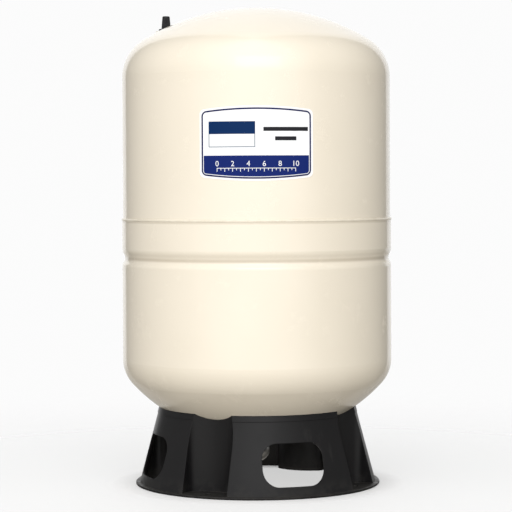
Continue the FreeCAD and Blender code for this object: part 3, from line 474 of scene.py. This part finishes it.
# Diaphragm: a butyl bag with a thick rim that fills the rolled groove. It hangs drained, and its
# crown travels up to the rim as water comes in, when the rubber folds flat.
bag_low, bag_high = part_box("diaphragm")
bag_r = 0.2130
rubber_t = 0.003
crown_r = 0.2700
knuckle_r = 0.0540
crown_z = bag_low[2] + crown_r
lean = math.asin((bag_r - knuckle_r) / (crown_r - knuckle_r))
knuckle_z = crown_z - (crown_r - knuckle_r) * math.cos(lean)
rim_drop = 0.016
rim_low = groove_z - rim_drop
butyl = new_finish("butyl rubber", {"IOR": 1.52, "Specular IOR Level": 0.3})
bag_tone = Tone(butyl.node_tree)
bag_bloom = between(noise(bag_tone, 16, 5, 0.6), 0.40, 0.75)
feed(tint(bag_bloom, (0.016, 0.016, 0.018), (0.040, 0.039, 0.040)), "Base Color")
feed(bag_bloom * 0.18 + 0.55, "Roughness")
bump(noise(bag_tone, 700, 3), 0.00008, 0.5)


def swing(form, start, arcs):
    """Draw a section in the X-Z plane: arcs are (centre r, centre z, angle) and runs (r, z)."""
    point = bmesh.ops.create_vert(form, co=start)["vert"]
    for arc in arcs:
        if len(arc) == 3:
            turned_arc = bmesh.ops.spin(form, geom=point, cent=(arc[0], 0, arc[1]), axis=(0, -1, 0),
                                        angle=arc[2], steps=max(4, round(abs(arc[2]) * 12)))
            point = [part for part in turned_arc["geom_last"]
                     if isinstance(part, bmesh.types.BMVert)]
        else:
            point = bmesh.ops.extrude_vert_indiv(form, verts=point)["verts"]
            point[0].co = (arc[0], 0, arc[1])


def turn_solid(form, name, finish):
    """Spin a section right round the axis into a closed piece that rides the tank."""
    bmesh.ops.spin(form, geom=form.verts[:] + form.edges[:], cent=(0, 0, 0), axis=(0, 0, 1),
                   angle=math.tau, steps=128, use_merge=True)
    bmesh.ops.remove_doubles(form, verts=form.verts, dist=0.00002)
    bmesh.ops.recalc_face_normals(form, faces=form.faces)
    mesh = bpy.data.meshes.new(name)
    form.to_mesh(mesh)
    form.free()
    mesh.set_sharp_from_angle(angle=math.radians(40))
    piece = bpy.data.objects.new(name, mesh)
    bpy.context.collection.objects.link(piece)
    mesh.materials.append(finish)
    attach(piece, "root")
    return piece


bag_form = bmesh.new()
swing(bag_form, (0, 0, bag_low[2]), [
    (0, crown_z, lean), (bag_r - knuckle_r, knuckle_z, math.pi / 2 - lean), (bag_r, rim_low),
    (bag_r - rubber_t, rim_low)])
swing(bag_form, (0, 0, bag_low[2] + rubber_t), [
    (0, crown_z, lean), (bag_r - knuckle_r, knuckle_z, math.pi / 2 - lean),
    (bag_r - rubber_t, rim_low)])
bag = turn_solid(bag_form, "diaphragm_bag", butyl)
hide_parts("diaphragm")
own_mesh(bag)

rim_form = bmesh.new()
rim_out, rim_in = 0.2148, 0.2100
dip, reach_low, reach_high = 0.0042, 0.012, 0.016
below = (reach_low ** 2 + dip ** 2) / (4 * dip)
above = (reach_high ** 2 + dip ** 2) / (4 * dip)
bend, sweep = math.asin(reach_low / 2 / below), math.asin(reach_high / 2 / above)
swing(rim_form, (rim_in, 0, rim_low), [
    (rim_out, rim_low), (rim_out, groove_z - reach_low), (rim_out - below, groove_z - reach_low, bend),
    (rim_out - dip + below, groove_z, -bend), (rim_out - dip + above, groove_z, -sweep),
    (rim_out - above, groove_z + reach_high, sweep), (rim_out, bag_high[2]), (rim_in, bag_high[2]),
    (rim_in, groove_z + reach_high), (rim_in - above, groove_z + reach_high, -sweep),
    (rim_in - dip + above, groove_z, sweep), (rim_in - dip + below, groove_z, bend),
    (rim_in - below, groove_z - reach_low, -bend), (rim_in, rim_low)])
rim = turn_solid(rim_form, "diaphragm_rim", butyl)
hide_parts("diaphragm")


# Clench ring and valve socket: rolled and turned mild steel, bare, with a little surface rust.
bare = new_finish("rolled steel", {"Metallic": 1.0})
hoop = Tone(bare.node_tree)
rolled = noise(hoop, 30, 4, 0.6, (1, 1, 14))
rust = between(noise(hoop, 50, 5, 0.65), 0.60, 0.72)
feed(tint(rust * 0.5, tint(rolled, (0.36, 0.355, 0.35), (0.50, 0.495, 0.485)),
          (0.24, 0.13, 0.07)), "Base Color")
feed(rolled * 0.15 + rust * 0.3 + 0.28, "Roughness")
bump(rolled * 0.6 + rust * 0.4, 0.00006, 0.6)
for name in ("clench_ring", "valve_socket"):
    nodes[name].material_slots[0].material = bare


# Weld studs, washers and nuts: M8 steel fasteners, bright zinc plated, that hold the stand to the
# tank's bottom head. The studs carry a 1.25 mm thread.
zinc = new_finish("zinc plate", {"Metallic": 1.0})
plate_tone = Tone(zinc.node_tree)
spot = plate_tone.node("ShaderNodeTexCoord", {}, {}, "Object")
spangle = plate_tone.node("ShaderNodeTexVoronoi", {}, {"Vector": spot, "Scale": 900}, "Distance")
feed(tint(between(noise(plate_tone, 200, 3), 0.4, 0.7),
          (0.56, 0.575, 0.585), (0.70, 0.71, 0.70)), "Base Color")
feed(spangle * 0.25 + noise(plate_tone, 90, 2) * 0.1 + 0.2, "Roughness")
bump(noise(plate_tone, 1400, 2), 0.00004, 0.5)
for name in ("stud_washers", "stud_nuts"):
    nodes[name].material_slots[0].material = zinc
stud_zinc = new_finish("zinc plated thread", {"Metallic": 1.0})
stud_tone = Tone(stud_zinc.node_tree)
up = place_in(stud_tone)[2]
stud_pitch = 0.00125
stud_thread_and_shade = stud_tone.math("SINE", up * (math.tau / stud_pitch)) * 0.5 + 0.5
# The thread's roots are painted dark and its crests light: painted shade on the thread, which is
# itself only a bump.
feed(tint(stud_thread_and_shade, (0.40, 0.41, 0.42), (0.68, 0.69, 0.68)), "Base Color")
feed(noise(stud_tone, 300, 2) * 0.12 + 0.24, "Roughness")
bump(stud_thread_and_shade, 0.0005, 0.8)
nodes["weld_studs"].material_slots[0].material = stud_zinc


# Valve stem, core and pin: turned brass, with the core fixed in the stem and the pin sliding in
# the core. The stem carries the standard 8 mm valve thread above its hexagon, for the cap.
valve_low, valve_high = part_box("valve_stem")
valve_x = (valve_low[0] + valve_high[0]) / 2
valve_y = (valve_low[1] + valve_high[1]) / 2
stem_pitch = 0.0008
stem_brass = new_finish("threaded brass", {"Metallic": 1.0})
stem = Tone(stem_brass.node_tree)
across, along, up = place_in(stem)
stem_turn = stem.math("ARCTAN2", along - valve_y, across - valve_x)
cut_thread = between(up, valve_high[2] - 0.0145, valve_high[2] - 0.0140) * (
    stem.math("SINE", up * (math.tau / stem_pitch) + stem_turn) * 0.5 + 0.5)
stem_tarnish = between(noise(stem, 260, 4, 0.6), 0.45, 0.75)
feed(tint(stem_tarnish, (0.80, 0.58, 0.27), (0.55, 0.38, 0.17)), "Base Color")
feed(stem_tarnish * 0.2 + 0.18, "Roughness")
bump(cut_thread * 0.9 + noise(stem, 2600, 2) * 0.06, 0.0003, 0.8)
for name in ("valve_stem", "valve_core", "valve_pin"):
    nodes[name].material_slots[0].material = stem_brass


# Valve spring: eight turns of drawn steel wire, coiled round the pin. It pushes the pin up to
# shut the valve, and shortens as the pin is pressed.
coil_low, coil_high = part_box("valve_spring")
wire_r = 0.0002
coil_r = 0.0011
coil_turns = 8
coil_form = bmesh.new()
bmesh.ops.create_circle(coil_form, segments=8, radius=wire_r,
                        matrix=Matrix.Translation((valve_x + coil_r, valve_y, coil_low[2] + wire_r))
                        @ Matrix.Rotation(math.pi / 2, 4, "X"))
steps = coil_turns * 24
coil_rise = coil_high[2] - coil_low[2] - 2 * wire_r
bmesh.ops.spin(coil_form, geom=coil_form.verts[:] + coil_form.edges[:], cent=(valve_x, valve_y, 0),
               axis=(0, 0, 1), dvec=(0, 0, coil_rise / steps),
               angle=math.tau * coil_turns, steps=steps)
bmesh.ops.holes_fill(coil_form, edges=coil_form.edges, sides=0)
bmesh.ops.recalc_face_normals(coil_form, faces=coil_form.faces)
coil_mesh = bpy.data.meshes.new("valve_spring_wire")
coil_form.to_mesh(coil_mesh)
coil_form.free()
coil_mesh.shade_smooth()
coil = bpy.data.objects.new("valve_spring_wire", coil_mesh)
bpy.context.collection.objects.link(coil)
drawn = new_finish("drawn spring steel", {"Metallic": 1.0})
wire = Tone(drawn.node_tree)
feed(tint(noise(wire, 3000, 3), (0.34, 0.34, 0.345), (0.52, 0.52, 0.515)), "Base Color")
feed(noise(wire, 1500, 2) * 0.15 + 0.24, "Roughness")
coil_mesh.materials.append(drawn)
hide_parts("valve_spring")
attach(coil, "root")
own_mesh(coil)


# Valve cap: one moulding of black plastic, screwed on the stem, with the cap ring in its flange.
# Shallow grips are moulded round its body for the fingers.
cap_plastic = new_finish("black cap plastic", {"IOR": 1.49, "Specular IOR Level": 0.22})
cap = Tone(cap_plastic.node_tree)
across, along, up = place_in(cap)
cap_low, cap_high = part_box("valve_cap")
cap_turn = cap.math("ARCTAN2", along - valve_y, across - valve_x)
on_body = (between(up, cap_low[2] + 0.0055, cap_low[2] + 0.0065)
           * between(up, cap_high[2] - 0.0030, cap_high[2] - 0.0040))
grips = 24
grip = cap.math("SINE", cap_turn * grips) * on_body
feed(tint(between(noise(cap, 400, 3), 0.4, 0.7),
          (0.0140, 0.0138, 0.0155), (0.021, 0.0207, 0.0225)), "Base Color")
feed(noise(cap, 700, 3) * 0.15 + 0.34, "Roughness")
bump(grip * 0.85 + noise(cap, 2500, 2) * 0.06, 0.0006, 0.7)
nodes["valve_cap"].material_slots[0].material = cap_plastic
